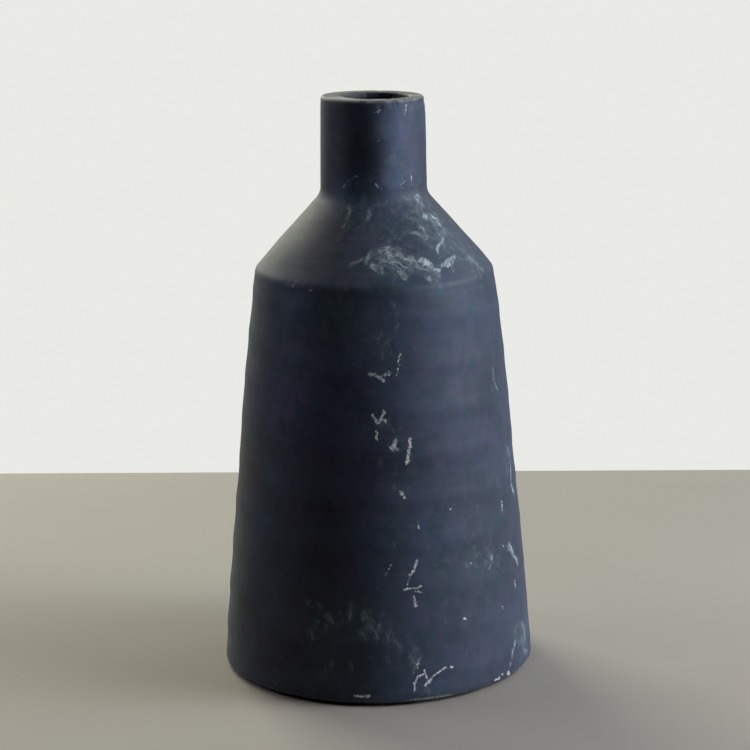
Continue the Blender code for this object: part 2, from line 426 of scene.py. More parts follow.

# Broad soft patches, lighter or darker: uneven stain, and the painted light and shade marked
# below, as (angle, height in mm, half-width in mm, half-height in mm, share lighter or darker,
# tint).
TINTS = {
    "plain": (1.0, 1.0, 1.0),
    "plum": (1.10, 0.90, 1.09),
    "teal": (0.84, 1.05, 1.05),
    "umber": (1.16, 1.0, 0.86),
    "olive": (1.02, 1.05, 0.88),
}
STAINS_AND_PAINTED_LIGHT = [
    # Painted reflection: this row lights the neck's left edge; the next paints sheen where the
    # neck meets the shoulder on the left.
    (-42, 236, 7, 18, 1.1, "umber"),
    (-30, 213, 9, 7, 1.5, "teal"),
    (-6, 234, 5, 16, -0.3, "plum"),
    # Painted highlight: this row and the next light the neck's right side down to its foot.
    (26, 236, 7, 17, 1.05, "plain"),
    (25, 217, 8, 8, 1.0, "plain"),
    (8, 238, 5, 9, 0.2, "olive"),
    # Darker along the back of the lip.
    (180, 251, 26, 2.2, -0.8, "plain"),
    (-18, 197, 12, 9, 0.45, "umber"),
    (3, 191, 9, 6, 0.7, "umber"),
    (-14, 182, 12, 5, 0.5, "umber"),
    # Painted highlight: a soft pale band along the ridge on the right.
    (26, 176, 15, 6, 0.6, "plain"),
    (58, 188, 14, 8, 0.2, "plain"),
    (-42, 171, 10, 10, 0.85, "teal"),
    (-38, 146, 14, 12, 0.5, "plain"),
    (-14, 166, 12, 14, 0.45, "olive"),
    (-12, 138, 14, 4, -0.25, "plum"),
    (-39, 126, 12, 9, 0.45, "plum"),
    (-20, 116, 12, 12, 0.0, "plum"),
    # Painted shade: this row and the next three darken the middle and left of the body on its dark
    # side.
    (-21, 106, 14, 9, -0.35, "plum"),
    (-3, 100, 9, 12, -0.35, "plum"),
    (-22, 84, 18, 10, -0.55, "plum"),
    (-18, 63, 22, 10, -0.48, "plum"),
    (-2, 62, 7, 9, 0.1, "teal"),
    (-71, 86, 12, 26, -0.55, "plain"),
    (-62, 36, 16, 16, -0.55, "plain"),
    # Painted shade: this row and the next two darken the lower body above the foot, mostly at the
    # left.
    (-22, 44, 18, 10, -0.48, "plum"),
    (-34, 20, 22, 12, -0.66, "plum"),
    (-5, 20, 12, 10, -0.5, "teal"),
    (17, 9, 18, 5, 0.45, "teal"),
    (57, 141, 8, 16, -0.12, "plain"),
    (30, 73, 14, 10, 0.25, "teal"),
    (26, 126, 18, 16, 0.2, "plain"),
    (38, 166, 14, 8, 0.1, "teal"),
    (8, 160, 6, 12, -0.15, "teal"),
    (7, 182, 5, 4, 0.35, "plain"),
    (-2, 172, 9, 4, -0.3, "plain"),
    (-48, 93, 6, 6, 0.45, "teal"),
    (-47, 73, 6, 6, 0.45, "teal"),
    # Painted shadow: this row and the next darken the lowest few millimetres by the foot, at the
    # left and at the front right.
    (-24, 3, 26, 5, -0.5, "plain"),
    (38, 2, 14, 3, -0.4, "plain"),
    (-32, 138, 28, 34, 0.22, "plain"),
    (24, 138, 24, 34, 0.14, "plain"),
    # Painted shade: a broad darkening of the lower left.
    (-26, 55, 32, 42, -0.22, "plain"),
    (1, 222, 5, 9, -0.4, "plain"),
]


def outer_radius(height):
    """Radius of the outside at a height, in metres."""
    return float(skin.at([skin.reaches(height)])[0, 0])


def on_surface(degrees, height):
    """A place on the unrolled surface in millimetres, from an angle and a height in mm."""
    return (math.radians(degrees) * outer_radius(height * MM) / MM, height, 0.0)


def marks_behind():
    """Seeded dabs, smears, clouds and stains for the sides that the camera doesn't see."""
    dice = random.Random(29)
    dabs, smears, clouds, stains = [], [], [], []
    for centre, height in ((128, 184), (206, 120), (232, 193), (168, 46), (118, 84), (216, 24)):
        path = [(centre - 360 * (centre > 180), height)]
        for _ in range(4):
            degrees, up = path[-1]
            path.append((degrees + dice.uniform(3, 9), up + dice.uniform(-5, 4)))
        smears.append((dice.uniform(1.8, 3.2), dice.uniform(0.5, 1.0), path))
        clouds.append((path[2][0], path[2][1], dice.uniform(9, 15), dice.uniform(0.4, 0.9)))
    for _ in range(18):
        degrees, up = dice.uniform(100, 258), dice.uniform(12, 165)
        degrees -= 360 * (degrees > 180)
        end = (degrees + dice.uniform(-1.6, 1.6), up + dice.uniform(-5, 5))
        dabs.append((dice.uniform(0.8, 1.3), dice.uniform(0.6, 1.0), [(degrees, up), end]))
        clouds.append((degrees, up, dice.uniform(6, 12), dice.uniform(0.2, 0.6)))
    for _ in range(26):
        place = dice.uniform(95, 265), dice.uniform(8, 240)
        half_size = dice.uniform(7, 20), dice.uniform(5, 15)
        tint = dice.choice(("plain", "plum", "plum", "teal", "umber"))
        stains.append((*place, *half_size, dice.uniform(-0.35, 0.35), tint))
    return dabs, smears, clouds, stains


DABS_BEHIND, SMEARS_BEHIND, CLOUDS_BEHIND, STAINS_BEHIND = marks_behind()


def smear_fields(angle, radius, height):
    """For each place, how far it lies along and across the nearest smear, and how chalky it is."""
    x, y = radius * np.sin(angle), -radius * np.cos(angle)
    across_all = angle * radius / MM + 1.3 * field(x, y, height, 5 * MM, 6)
    up = height / MM + 1.3 * field(x, y, height, 5 * MM, 7)
    fields = np.zeros(angle.shape + (3,))
    for number, (width, strength, places) in enumerate(SMEARS + SMEARS_BEHIND):
        begun = 37.0 * number
        for start, end in zip(places, places[1:]):
            (x0, y0, _), (x1, y1, _) = on_surface(*start), on_surface(*end)
            length = math.hypot(x1 - x0, y1 - y0)
            along_x, along_y = (x1 - x0) / length, (y1 - y0) / length
            along = (across_all - x0) * along_x + (up - y0) * along_y
            across = (up - y0) * along_x - (across_all - x0) * along_y
            beyond = along - np.clip(along, 0, length)
            chalk = strength * (1 - np.hypot(beyond, across) / width)
            nearer = chalk > fields[..., 2]
            here = np.stack([begun + along, across, chalk], axis=-1)
            fields[nearer] = here[nearer]
            begun += length
    return fields


def cloud_field(angle, radius, height):
    """How many flecks each place has, from 0 to 1. On the lip and the foot edge it also sets the
    painted highlight.
    """
    clear = np.ones_like(angle)
    for degrees, cloud_height, size, strength in CLOUDS_AND_HIGHLIGHTS + CLOUDS_BEHIND:
        around = turn_from(angle, degrees) * radius
        distance = np.hypot(around, height - cloud_height * MM) / (size * MM)
        clear *= 1 - strength * np.exp(-(distance**2))
    return 1 - clear


def stain_and_light_field(angle, radius, height):
    """The factors on red, green and blue by which the colour differs from place to place: uneven
    stain, and painted light and shade.
    """
    x, y = radius * np.sin(angle), -radius * np.cos(angle)
    sideways = 3 * MM * field(x, y, height, 11 * MM, 8)
    upward = 4 * MM * field(x, y, height, 11 * MM, 9)
    stain_and_light = np.ones(angle.shape + (3,))
    for degrees, centre, half_width, half_height, share, tint in STAINS_AND_PAINTED_LIGHT + STAINS_BEHIND:
        across = (turn_from(angle, degrees) * radius + sideways) / (half_width * MM)
        up = (height - centre * MM + upward) / (half_height * MM)
        weight = np.exp(-(across**2 + up**2))[..., None]
        stain_and_light *= 1 + weight * (np.array(TINTS[tint]) * (1 + share) - 1)
    return stain_and_light


def uneven(angle, radius, height):
    """Points of a turned surface, with the leaning, wavering lip and the off-centre bore."""
    at_lip = smooth(HEIGHT - LIP_REACH, HEIGHT, height)
    x = radius * np.sin(angle) + BORE_SHIFT * at_lip * (radius < LIP_RADIUS - LIP_FLAT)
    y = -radius * np.cos(angle)
    waver = 0.5 * np.sin(angle * 2 + 1.2)
    waver += field(np.sin(angle), -np.cos(angle), 0 * angle, 0.8, 5)
    tilt = LIP_TILT * np.cos(angle) - LIP_LEAN * (1 + np.sin(angle))
    z = height + at_lip * (tilt * radius / LIP_RADIUS - LIP_WAVER * (1 + waver))
    return np.stack([x, y, z], axis=-1).reshape(-1, 3)


def paint(piece, name, values):
    """Keeps a number or three numbers for each point, for the material to read."""
    kind, key = ("FLOAT_VECTOR", "vector") if values.ndim == 3 else ("FLOAT", "value")
    painted = piece.data.attributes.new(name, kind, "POINT")
    painted.data.foreach_set(key, values.ravel())


def mesh_piece(name, rows, outside_rows, segments=SEGMENTS, closed=True):
    """A turned solid. The first outside_rows rows carry the hand-made relief."""
    angles = np.arange(segments) * TAU / segments - math.pi
    angle = np.repeat(angles[None], len(rows), axis=0)
    radius = np.repeat(rows[:, 0:1], segments, axis=1)
    height = np.repeat(rows[:, 1:2], segments, axis=1)
    if outside_rows:
        seen = slice(outside_rows)
        out = relief(angle[seen], radius[seen], height[seen])
        out -= dents(angle[seen], radius[seen], height[seen], EDGE_WEAR)
        radius[seen] += out * rows[seen, 2:3]
        height[seen] += out * rows[seen, 3:4]
    piece = from_grid(name, uneven(angle, radius, height), len(rows), segments, closed)
    if outside_rows:
        smears = smear_fields(angle, radius, height)
        smears[outside_rows:] = 0
        paint(piece, "smear", smears)
        paint(piece, "cloud", cloud_field(angle, radius, height))
        paint(piece, "stain_and_light", stain_and_light_field(angle, radius, height))
    return piece


def from_grid(name, points, rows, segments, closed):
    """Joins rows of points round the axis. A piece that isn't closed ends in two poles."""
    faces = []
    for row in range(rows if closed else rows - 1):
        here, there = row * segments, (row + 1) % rows * segments
        for k in range(segments):
            on = (k + 1) % segments
            faces.append((here + k, here + on, there + on, there + k))
    data = bpy.data.meshes.new(name)
    data.from_pydata(points.tolist(), [], faces)
    if not closed:
        mesh = bmesh.new()
        mesh.from_mesh(data)
        bmesh.ops.holes_fill(mesh, edges=mesh.edges)
        rims = [face for face in mesh.faces if len(face.verts) > 4]
        bmesh.ops.poke(mesh, faces=rims)
        bmesh.ops.recalc_face_normals(mesh, faces=mesh.faces)
        mesh.to_mesh(data)
        mesh.free()
    data.shade_smooth()
    data.set_sharp_from_angle(angle=math.radians(40))
    piece = bpy.data.objects.new(name, data)
    bpy.context.scene.collection.objects.link(piece)
    return piece


def hidden(*points):
    """Rows for faces that lie in a joint or inside, with no relief."""
    return np.array([(radius, height, 0, 0) for radius, height in points])


def between(start, end, step):
    """Points from one (radius, height) to another, no further apart than step."""
    count = max(1, math.ceil(math.dist(start, end) / step))
    return [
        tuple(a + (b - a) * k / count for a, b in zip(start, end)) for k in range(count + 1)
    ]


def finish_piece(piece, node, material):
    piece.data.materials.append(material)
    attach(piece, "root")
    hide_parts(node)
    return piece


# ------------------------ shader building blocks
class Shader:
    """A small help for writing node trees in a few words."""

    def __init__(self, tree):
        self.tree = tree

    def node(self, kind, settings=None, **inputs):
        made = self.tree.nodes.new("ShaderNode" + kind)
        for key, value in (settings or {}).items():
            setattr(made, key, value)
        for key, value in inputs.items():
            self.put(made.inputs[key.replace("_", " ")], value)
        return made

    def put(self, socket, value):
        if isinstance(value, bpy.types.NodeSocket):
            self.tree.links.new(value, socket)
        elif value is not None:
            socket.default_value = value

    def math(self, operation, first, second=None, third=None, clamp=False):
        made = self.tree.nodes.new("ShaderNodeMath")
        made.operation = operation
        made.use_clamp = clamp
        for socket, value in zip(made.inputs, (first, second, third)):
            self.put(socket, value)
        return made.outputs[0]

    def product(self, *factors):
        """All of the factors multiplied together."""
        result = factors[0]
        for factor in factors[1:]:
            result = self.math("MULTIPLY", result, factor)
        return result

    def vector(self, operation, first, second=None, scale=None):
        made = self.tree.nodes.new("ShaderNodeVectorMath")
        made.operation = operation
        self.put(made.inputs[0], first)
        self.put(made.inputs[1], second)
        self.put(made.inputs[3], scale)
        gives_number = operation in ("LENGTH", "DISTANCE", "DOT_PRODUCT")
        return made.outputs[1 if gives_number else 0]

    def point(self, x, y, z=0.0):
        return self.node("CombineXYZ", X=x, Y=y, Z=z).outputs[0]

    def ramp(self, value, low, high, to_low=0.0, to_high=1.0):
        made = self.node(
            "MapRange",
            {"interpolation_type": "SMOOTHSTEP"},
            Value=value,
            From_Min=low,
            From_Max=high,
            To_Min=to_low,
            To_Max=to_high,
        )
        return made.outputs[0]

    def noise(self, at, scale, detail=4.0, roughness=0.55, distortion=0.0):
        made = self.node(
            "TexNoise",
            Vector=at,
            Scale=scale,
            Detail=detail,
            Roughness=roughness,
            Distortion=distortion,
        )
        return made.outputs["Fac"]

    def mix(self, share, first, second):
        made = self.tree.nodes.new("ShaderNodeMix")
        made.data_type = "RGBA"
        self.put(made.inputs["Factor"], share)
        self.put(made.inputs["A"], first)
        self.put(made.inputs["B"], second)
        return made.outputs["Result"]


FAR_BELOW = -1e4


def stroke_group():
    """A node group that adds one straight dab of chalk.

    Place is (arc, height, chalk so far), with From and To on the same unrolled surface. The
    chalk rides in the third coordinate, so the strokes are worked out one after another.
    """
    tree = bpy.data.node_groups.new("chalk_stroke", "ShaderNodeTree")
    for name, kind in (
        ("Place", "NodeSocketVector"),
        ("From", "NodeSocketVector"),
        ("To", "NodeSocketVector"),
        ("Width", "NodeSocketFloat"),
        ("Strength", "NodeSocketFloat"),
    ):
        tree.interface.new_socket(name, in_out="INPUT", socket_type=kind)
    tree.interface.new_socket("Place", in_out="OUTPUT", socket_type="NodeSocketVector")
    given = tree.nodes.new("NodeGroupInput").outputs
    result = tree.nodes.new("NodeGroupOutput")
    shader = Shader(tree)
    reach = shader.vector("SUBTRACT", given["To"], given["From"])
    away = shader.vector("SUBTRACT", given["Place"], given["From"])
    away = shader.vector("MULTIPLY", away, (1, 1, 0))
    along = shader.vector("DOT_PRODUCT", away, reach)
    whole = shader.vector("DOT_PRODUCT", reach, reach)
    share = shader.math("DIVIDE", along, whole, clamp=True)
    nearest = shader.vector("SCALE", reach, scale=share)
    distance = shader.vector("DISTANCE", away, nearest)
    outside = shader.math("DIVIDE", distance, given["Width"])
    inside = shader.math("SUBTRACT", 1.0, outside, clamp=True)
    dab = shader.product(inside, given["Strength"])
    painted = shader.vector("MAXIMUM", given["Place"], shader.point(FAR_BELOW, FAR_BELOW, dab))
    shader.put(result.inputs["Place"], painted)
    return tree


STROKE = stroke_group()


def strokes(shader, at, low, high):
    """A mask of the dabs whose first place lies between these heights in mm."""
    place = shader.vector("MULTIPLY", at, (1, 1, 0))
    for width, strength, places in DABS + DABS_BEHIND:
        if not low - 1 < places[0][1] < high + 1:
            continue
        ends = places[1:] or [(places[0][0] + 0.3, places[0][1])]
        for start, end in zip(places, ends):
            dab = shader.node(
                "Group",
                {"node_tree": STROKE},
                Place=place,
                From=on_surface(*start),
                To=on_surface(*end),
                Width=0.95 * width,
                Strength=strength,
            )
            place = dab.outputs["Place"]
    return shader.node("SeparateXYZ", Vector=place).outputs[2]


def unrolled(shader):
    """Object position in mm, the same unrolled to (arc, height), radius and height in mm."""
    object_place = shader.node("TexCoord").outputs["Object"]
    place = shader.vector("SCALE", object_place, scale=1 / MM)
    x, y, height = shader.node("SeparateXYZ", Vector=place).outputs
    squares = shader.math("ADD", shader.product(x, x), shader.product(y, y))
    radius = shader.math("SQRT", squares)
    angle = shader.math("ARCTAN2", x, shader.product(y, -1.0))
    flat = shader.point(shader.product(angle, radius), height)
    return place, flat, radius, height


def attribute(shader, name, output="Vector"):
    """What paint() kept on the mesh under this name."""
    return shader.node("Attribute", {"attribute_name": name}).outputs[output]


def ridges(shader, value, sharpness):
    """Thin lines where a noise value passes through its middle."""
    off_middle = shader.math("ABSOLUTE", shader.math("SUBTRACT", value, 0.5))
    return shader.math("SUBTRACT", 1.0, shader.product(off_middle, sharpness), clamp=True)


def chalk_smears(shader, place, broken):
    """Wrinkled streaks that run along the smears, and the thin haze that they lie in."""
    along, across, chalk = shader.node("SeparateXYZ", Vector=attribute(shader, "smear")).outputs
    sway = shader.math("SUBTRACT", shader.noise(place, 0.3, 2), 0.5)
    sway = shader.product(sway, 1.8)
    across = shader.math("ADD", shader.product(across, 0.5), sway)
    flow = shader.point(shader.product(along, 0.13), across)
    fine = ridges(shader, shader.noise(flow, 1.9, 2, 0.5, 0.3), 8.0)
    coarse = ridges(shader, shader.noise(flow, 0.9, 2, 0.5, 0.3), 6.5)
    lines = shader.math("MAXIMUM", shader.product(fine, 0.7), coarse)
    film = shader.noise(shader.vector("ADD", flow, (31.0, 17.0, 5.0)), 1.1, 3, 0.6)
    gaps = shader.ramp(film, 0.42, 0.62, 0.08, 1.0)
    crumbled = shader.ramp(broken, 0.35, 0.58, 0.45, 1.0)
    streaks = shader.product(shader.ramp(chalk, 0.0, 0.6), lines, gaps, crumbled)
    veil = shader.math("MULTIPLY_ADD", gaps, 0.42, 0.12)
    haze = shader.product(shader.ramp(chalk, -0.1, 0.8), veil)
    return streaks, haze


def chalk_dabs(shader, place, flat, broken, low, high):
    """Crisp dabs and scratches with ragged, broken edges."""
    shake = shader.node("TexNoise", Vector=place, Scale=0.7, Detail=3.0).outputs["Color"]
    offset = shader.vector("SUBTRACT", shake, (0.5, 0.5, 0.5))
    shaken = shader.vector("ADD", flat, shader.vector("SCALE", offset, scale=1.5))
    dab = strokes(shader, shaken, low, high)
    crumbs = shader.math("SUBTRACT", shader.noise(place, 1.25, 2, 0.6), 0.5)
    ragged = shader.math("MULTIPLY_ADD", crumbs, 1.9, dab)
    beads = shader.ramp(shader.noise(place, 0.85, 2, 0.5), 0.40, 0.56, 0.4, 1.0)
    crumbled = shader.ramp(broken, 0.3, 0.6, 0.6, 1.0)
    return shader.product(
        shader.ramp(ragged, 0.3, 0.72), shader.ramp(dab, 0.02, 0.2), beads, crumbled
    )


# Colours of the clay, of what lies on it and of the painted shade and highlights, as linear red,
# green and blue, and alpha.
DEEP_BLUE = (0.0215, 0.0310, 0.0590, 1)
BLUE = (0.0340, 0.0490, 0.0940, 1)
TEAL = (0.0190, 0.052, 0.068, 1)
PALE_BLUE = (0.050, 0.050, 0.092, 1)
BLUE_BLACK = (0.0165, 0.027, 0.048, 1)
BRUSH_MARK = (0.058, 0.070, 0.110, 1)
SAND_GRAIN = (0.070, 0.082, 0.105, 1)
PALE_TEAL = (0.034, 0.062, 0.078, 1)
FLECK = (0.100, 0.148, 0.185, 1)
HAZE = (0.105, 0.15, 0.18, 1)
SMEARED_CHALK = (0.50, 0.58, 0.64, 1)
DABBED_CHALK = (0.64, 0.68, 0.72, 1)
BORE_SHADE = (0.006, 0.007, 0.010, 1)
UNDER_FOOT_SHADE = (0.012, 0.012, 0.014, 1)
WORN_LIP = (0.088, 0.100, 0.094, 1)
LIP_WEAR_AND_HIGHLIGHT = (0.27, 0.30, 0.30, 1)
FOOT_WEAR_AND_HIGHLIGHT = (0.22, 0.25, 0.24, 1)
CLAY_DARK = (0.030, 0.029, 0.031, 1)
CLAY_LIGHT = (0.055, 0.052, 0.053, 1)
SLIP_DARK = (0.07, 0.066, 0.063, 1)
SLIP_LIGHT = (0.10, 0.095, 0.09, 1)
CLAY_GRIT = (0.16, 0.15, 0.14, 1)


def clay_noises(shader, place):
    """The noises that several layers of the stoneware share."""
    tall = shader.vector("MULTIPLY", place, (1.0, 1.0, 0.75))
    drawn_out = shader.vector("MULTIPLY", place, (0.1, 0.1, 1.0))
    return {
        "drift": shader.noise(place, 0.022, 5, 0.6, 0.6),
        "blotch": shader.noise(place, 0.075, 4, 0.6, 1.2),
        "patchy": shader.noise(tall, 0.17, 3, 0.5, 0.4),
        "grain": shader.noise(place, 1.1, 3, 0.7),
        "broken": shader.noise(place, 1.3, 3, 0.6),
        "brushed": shader.noise(drawn_out, 0.5, 4, 0.6),
    }


def stained_clay_and_painted_light(shader, noises):
    """The blue-black stain, with its drifts, blotches and brush marks, and broad patches of uneven
    stain and of painted light and shade.
    """
    patchy, blotch = noises["patchy"], noises["blotch"]
    colour = shader.mix(shader.ramp(noises["drift"], 0.33, 0.66), DEEP_BLUE, BLUE)
    colour = shader.mix(shader.ramp(blotch, 0.47, 0.68, 0, 0.5), colour, TEAL)
    colour = shader.mix(shader.ramp(patchy, 0.50, 0.62, 0, 0.45), colour, PALE_BLUE)
    colour = shader.mix(shader.ramp(patchy, 0.48, 0.36, 0, 0.4), colour, BLUE_BLACK)
    colour = shader.mix(shader.ramp(noises["brushed"], 0.45, 0.75, 0, 0.18), colour, BRUSH_MARK)
    colour = shader.mix(shader.ramp(noises["grain"], 0.64, 0.8, 0, 0.25), colour, SAND_GRAIN)
    # Broad patches: uneven stain, painted highlights and painted shade.
    return shader.vector("MULTIPLY", colour, attribute(shader, "stain_and_light"))


def flecked(shader, place, noises, cloud, colour):
    """Soft pale flecks, which are thickest in the clouds."""
    veil = shader.product(cloud, shader.ramp(noises["blotch"], 0.35, 0.62, 0.25, 0.75), 0.55)
    colour = shader.mix(veil, colour, PALE_TEAL)
    speck = shader.noise(shader.vector("MULTIPLY", place, (1.0, 1.0, 0.8)), 0.3, 3, 0.6, 0.3)
    needed = shader.ramp(cloud, 0.0, 1.0, 0.74, 0.50)
    fleck = shader.ramp(shader.math("SUBTRACT", speck, needed), -0.12, 0.16, 0, 0.55)
    return shader.mix(fleck, colour, FLECK)


def wear_and_painted_light(shader, noises, cloud, radius, height, colour):
    """Painted shade in the bore and under the foot, and the worn lip and foot edge with painted
    highlights.
    """
    top, rim = HEIGHT / MM, LIP_RADIUS / MM
    # Painted shade: the bore turns black from just under the lip downwards.
    bore = shader.product(
        shader.ramp(radius, 16.5, 15.0), shader.ramp(height, top - 0.6, top - 3), 0.6
    )
    colour = shader.mix(bore, colour, BORE_SHADE)
    # Painted shade: the wall below 1.7 mm, under the foot's rounded edge, turns near black.
    colour = shader.mix(shader.ramp(height, 2.3, 1.7), colour, UNDER_FOOT_SHADE)
    lip = shader.ramp(height, top - 1.5, top - 0.5)
    worn = shader.product(lip, shader.ramp(noises["blotch"], 0.3, 0.55, 0.4, 0.9))
    colour = shader.mix(worn, colour, WORN_LIP)
    # Worn and painted highlight: a pale ring at the lip's outer edge, and pale places where the
    # lip rows of the cloud table reach it.
    edge = shader.product(
        lip,
        shader.ramp(radius, rim - 1.5, rim - 0.6),
        shader.ramp(noises["patchy"], 0.44, 0.56, 0.1, 0.8),
    )
    lip_wear_and_highlight = shader.product(lip, shader.ramp(cloud, 0.3, 0.9, 0.0, 0.8))
    colour = shader.mix(shader.math("MAXIMUM", edge, lip_wear_and_highlight), colour, LIP_WEAR_AND_HIGHLIGHT)
    # Worn and painted highlight: a pale broken band along the foot edge, strongest where the cloud
    # table reaches it.
    foot = shader.product(
        shader.ramp(height, 3.4, 2.7),
        shader.ramp(height, 1.9, 2.4),
        shader.ramp(noises["broken"], 0.35, 0.6, 0.15, 1.0),
        shader.ramp(cloud, 0.1, 0.5, 0.12, 1.0),
    )
    return shader.mix(foot, colour, FOOT_WEAR_AND_HIGHLIGHT)


def stoneware(name, low, high, roughness=0.58):
    """Matte blue-black stained clay, mottled, worn at its edges and chalked in places, with
    painted shade in the bore and under the foot and painted highlights on the lip and the foot
    edge.

    Only the dabs of chalk between the heights low and high, in mm, go into it.
    """
    material = bpy.data.materials.new(name)
    material.use_nodes = True
    shader = Shader(material.node_tree)
    surface = material.node_tree.nodes["Principled BSDF"]
    place, flat, radius, height = unrolled(shader)
    noises = clay_noises(shader, place)
    cloud = attribute(shader, "cloud", "Fac")
    smear, haze = chalk_smears(shader, place, noises["broken"])
    dab = chalk_dabs(shader, place, flat, noises["broken"], low, high)

    colour = stained_clay_and_painted_light(shader, noises)
    colour = flecked(shader, place, noises, cloud, colour)
    colour = shader.mix(shader.product(haze, 0.6), colour, HAZE)
    colour = shader.mix(shader.product(smear, 0.95), colour, SMEARED_CHALK)
    colour = shader.mix(dab, colour, DABBED_CHALK)
    colour = wear_and_painted_light(shader, noises, cloud, radius, height, colour)
    shader.put(surface.inputs["Base Color"], colour)

    chalk = shader.math("MAXIMUM", dab, smear)
    rough = shader.ramp(noises["drift"], 0.3, 0.7, roughness - 0.06, roughness + 0.06)
    rough = shader.math("MULTIPLY_ADD", chalk, 0.3, rough, clamp=True)
    shader.put(surface.inputs["Roughness"], rough)
    surface.inputs["Specular IOR Level"].default_value = 0.3
    surface.inputs["Sheen Weight"].default_value = 0.06
    surface.inputs["Sheen Roughness"].default_value = 0.45

    pits = shader.ramp(shader.noise(place, 0.9, 2, 0.5), 0.3, 0.42)
    raised = shader.product(noises["grain"], 0.6)
    raised = shader.math("MULTIPLY_ADD", pits, 0.5, raised)
    raised = shader.math("MULTIPLY_ADD", noises["brushed"], 0.7, raised)
    bump = shader.node("Bump", Strength=0.35, Distance=0.12 * MM, Height=raised)
    shader.put(surface.inputs["Normal"], bump.outputs["Normal"])
    return material


def plain_clay(name, dark, light, roughness):
    """Unstained fired clay: sandy, speckled, with a little colour variation."""
    material = bpy.data.materials.new(name)
    material.use_nodes = True
    shader = Shader(material.node_tree)
    surface = material.node_tree.nodes["Principled BSDF"]
    place, _, radius, _ = unrolled(shader)
    cloud = shader.noise(place, 0.05, 4, 0.6)
    sand = shader.noise(place, 1.6, 3, 0.7)
    scraped = shader.noise(shader.point(radius, 0.0), 0.6, 3, 0.6)
    colour = shader.mix(shader.ramp(cloud, 0.35, 0.65), dark, light)
    colour = shader.mix(shader.ramp(sand, 0.6, 0.75, 0, 0.6), colour, CLAY_GRIT)
    rough = shader.ramp(sand, 0.3, 0.7, roughness - 0.08, roughness + 0.08)
    shader.put(surface.inputs["Base Color"], colour)
    shader.put(surface.inputs["Roughness"], rough)
    height = shader.math("MULTIPLY_ADD", scraped, 1.2, shader.product(sand, 0.8))
    bump = shader.node("Bump", Strength=0.5, Distance=0.15 * MM, Height=height)
    shader.put(surface.inputs["Normal"], bump.outputs["Normal"])
    return material


# ------------------------ the pieces
def body_wall(material):
    outside = skin.stretch(0, skin.reaches(WALL_TOP))
    gallery = wall_radius(WALL_TOP) - LAP
    ledge = CONE_END - GAP
    seat = FLANGE_TOP + SLIP_BAND
    inside = [
        (wall_radius(z) - WALL + INNER_RING_DEPTH * math.sin(TAU * z / RING_PITCH), z)
        for z in np.linspace(ledge, seat, 30)
    ]
    joint = hidden(
        *between((gallery, WALL_TOP), (gallery, ledge), 2 * MM),
        *inside,
        (FOOT_RADIUS - LAP, seat),
    )
    piece = mesh_piece("thrown_wall", np.concatenate([outside, joint]), len(outside))
    return finish_piece(piece, "body_wall", material)


def ridge_slip(material):
    outside = skin.stretch(skin.reaches(WALL_TOP), skin.reaches(WALL_TOP + SLIP_BAND))
    inner = wall_radius(WALL_TOP) - LAP
    joint = hidden((inner, WALL_TOP + SLIP_BAND), (inner, WALL_TOP))
    piece = mesh_piece("ridge_slip", np.concatenate([outside, joint]), len(outside))
    return finish_piece(piece, "shoulder_slip_joint", material)


def shoulder(material):
    outside = skin.stretch(skin.reaches(WALL_TOP + SLIP_BAND), skin.reaches(CONE_TOP))
    spigot = wall_radius(WALL_TOP) - LAP - GAP
    opening = neck_opening()
    slope = (RIDGE[0] - NECK_FOOT[0]) / (NECK_FOOT[1] - RIDGE[1])
    land = CONE_TOP - 1.2 * MM
    inner_corner = (spigot - LAP, land - (spigot - LAP - opening) / slope)
    joint = hidden(
        (opening, CONE_TOP),
        *between((opening, land), inner_corner, 3 * MM),
        (spigot - LAP, CONE_END),
        (spigot, CONE_END),
        (spigot, WALL_TOP + SLIP_BAND),
    )
    piece = mesh_piece("thrown_shoulder", np.concatenate([outside, joint]), len(outside))
    return finish_piece(piece, "shoulder_cone", material)


def neck_opening():
    """Radius of the hole in the shoulder's top."""
    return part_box("neck_slip_joint")[1].x - NECK_SEAT


def neck_slip(material):
    outside = skin.stretch(skin.reaches(CONE_TOP), skin.reaches(CONE_TOP + SLIP_BAND))
    inner = neck_opening()
    joint = hidden((inner, CONE_TOP + SLIP_BAND), (inner, CONE_TOP))
    piece = mesh_piece("neck_slip", np.concatenate([outside, joint]), len(outside))
    return finish_piece(piece, "neck_slip_joint", material)


def neck(material):
    outside = skin.stretch(skin.reaches(CONE_TOP + SLIP_BAND), skin.length[-1])
    spigot = neck_opening() - GAP
    bore_top = (BORE_RADIUS, outside[-1, 1] - 1.5 * MM)
    joint = hidden(
        *between(bore_top, (BORE_RADIUS, NECK_END), 1.5 * MM),
        (spigot, NECK_END),
        (spigot, CONE_TOP + SLIP_BAND),
    )
    piece = mesh_piece("thrown_neck", np.concatenate([outside, joint]), len(outside))
    return finish_piece(piece, "neck_tube", material)


def foot_slab(material):
    flange = slab_high.x
    ring = flange - FOOT_RING
    plug = slip_low_radius() - GAP
    scraping = 0.12 * MM
    under = [
        (radius, FOOT_RECESS + scraping * math.sin(radius / MM * 1.1))
        for radius in np.linspace(1 * MM, ring - FOOT_EDGE, 60)
    ]
    ring_end = (flange - FOOT_EDGE - 0.5 * MM, 0.0)
    rows = hidden(
        *under,
        *between((ring, 0.05 * MM), ring_end, 1.5 * MM),
        *rounded((flange - 3 * MM, 0.0), (flange, 0.0), (flange, 3 * MM), FOOT_EDGE, 5),
        (flange, FLANGE_TOP),
        (plug, FLANGE_TOP),
        *rounded((plug, FLANGE_TOP), (plug, slab_high.z), (0.0, slab_high.z), FOOT_EDGE, 5),
        *between((plug - 2 * MM, slab_high.z), (1 * MM, slab_high.z), 3 * MM),
    )
    piece = mesh_piece("foot_slab", rows, 0, 256, closed=False)
    return finish_piece(piece, "base_slab", material)


